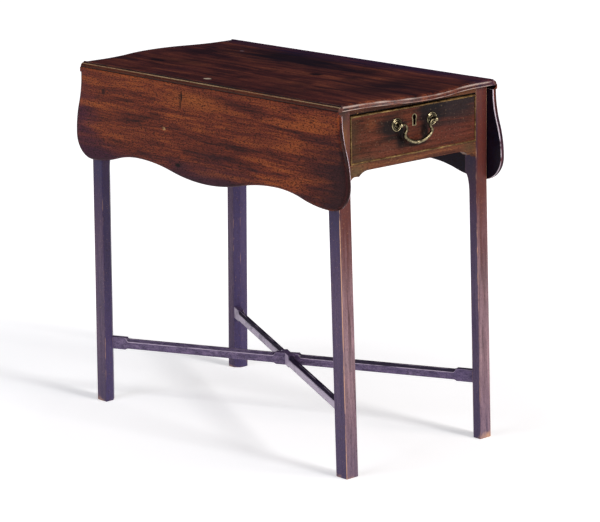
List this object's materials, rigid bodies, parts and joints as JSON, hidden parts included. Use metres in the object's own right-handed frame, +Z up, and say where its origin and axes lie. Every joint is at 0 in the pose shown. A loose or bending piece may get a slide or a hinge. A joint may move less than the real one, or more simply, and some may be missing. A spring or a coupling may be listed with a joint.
{
  "type": "drop-leaf pembroke table",
  "caption": "Wooden drop-leaf occasional table with eared, shaped leaves on rule joints, an end drawer with a swan-neck bail handle, straight square legs and crossed stretchers.",
  "frame": {"origin": "On the floor, under the middle of the table with its leaves hanging.", "axes": "+Z up, +Y along the length of the top away from the drawer end, +X across towards the right-hand leaf as seen from the drawer end."},
  "size_m": [0.4166, 0.8154, 0.711],
  "materials": {
    "mahogany_top": "polished",
    "mahogany_drawer": "polished",
    "mahogany_bead": "worn",
    "mahogany_frame": "polished",
    "lining_wood": "bare",
    "brass": "aged",
    "iron": "dull"
  },
  "bodies": {
    "frame": {"leg_front_left": "mahogany_frame", "leg_front_right": "mahogany_frame", "leg_back_left": "mahogany_frame", "leg_back_right": "mahogany_frame", "side_rail_left": "lining_wood", "side_rail_right": "lining_wood", "fly_rail_front_left": "lining_wood", "fly_rail_front_right": "lining_wood", "fly_rail_back_left": "lining_wood", "fly_rail_back_right": "lining_wood", "fly_pin_left": "iron", "fly_pin_right": "iron", "back_rail": "mahogany_frame", "drawer_top_rail": "mahogany_frame", "drawer_bottom_rail": "mahogany_frame", "corner_bracket_front_left": "mahogany_frame", "corner_bracket_front_right": "mahogany_frame", "corner_bracket_back_left": "mahogany_frame", "corner_bracket_back_right": "mahogany_frame", "stretcher_rising": "mahogany_frame", "stretcher_falling": "mahogany_frame", "drawer_runner_left": "lining_wood", "drawer_runner_right": "lining_wood", "drawer_guide_left": "lining_wood", "drawer_guide_right": "lining_wood", "drawer_kicker_left": "lining_wood", "drawer_kicker_right": "lining_wood", "drawer_stops": "lining_wood", "glue_blocks": "lining_wood", "top_board": "mahogany_top", "top_screws": "iron", "hinge_top_plates_left": "iron", "hinge_top_plates_right": "iron", "hinge_top_screws_left": "iron", "hinge_top_screws_right": "iron"},
    "leaf_left": {"leaf_left": "mahogany_top", "hinge_leaf_plates_left": "iron", "hinge_pins_left": "iron", "hinge_leaf_screws_left": "iron"},
    "leaf_right": {"leaf_right": "mahogany_top", "hinge_leaf_plates_right": "iron", "hinge_pins_right": "iron", "hinge_leaf_screws_right": "iron"},
    "fly_bracket_left": {"fly_bracket_left": "lining_wood"},
    "fly_bracket_right": {"fly_bracket_right": "lining_wood"},
    "drawer": {"drawer_front": "mahogany_drawer", "drawer_cockbead": "mahogany_bead", "drawer_side_left": "lining_wood", "drawer_side_right": "lining_wood", "drawer_back": "lining_wood", "drawer_bottom": "lining_wood", "handle_roses": "brass", "handle_posts": "brass", "handle_nuts": "brass", "escutcheon": "brass", "lock_case": "iron"},
    "bail": {"bail_handle": "brass"},
    "lock_bolt": {"lock_bolt": "iron"}
  },
  "joints": [
    {"name": "leaf_left_hinge", "type": "hinge", "parent": "frame", "child": "leaf_left", "pos_m": [-0.1983, 0, 0.701], "axis": [0, 1, 0], "range_deg": [0, 90]},
    {"name": "leaf_right_hinge", "type": "hinge", "parent": "frame", "child": "leaf_right", "pos_m": [0.1983, 0, 0.701], "axis": [0, -1, 0], "range_deg": [0, 90]},
    {"name": "fly_bracket_left_hinge", "type": "hinge", "parent": "frame", "child": "fly_bracket_left", "pos_m": [-0.18655, -0.085, 0.639], "axis": [0, 0, 1], "range_deg": [0, 1.1]},
    {"name": "fly_bracket_right_hinge", "type": "hinge", "parent": "frame", "child": "fly_bracket_right", "pos_m": [0.18655, -0.085, 0.639], "axis": [0, 0, -1], "range_deg": [0, 1.1]},
    {"name": "drawer_slide", "type": "slide", "parent": "frame", "child": "drawer", "axis": [0, -1, 0], "range_m": [0, 0.38]},
    {"name": "bail_swing", "type": "hinge", "parent": "drawer", "child": "bail", "pos_m": [0, -0.3778, 0.654], "axis": [-1, 0, 0], "range_deg": [-6, 140]},
    {"name": "lock_bolt_throw", "type": "slide", "parent": "drawer", "child": "lock_bolt", "axis": [0, 0, 1], "range_m": [0, 0.007]}
  ]
}
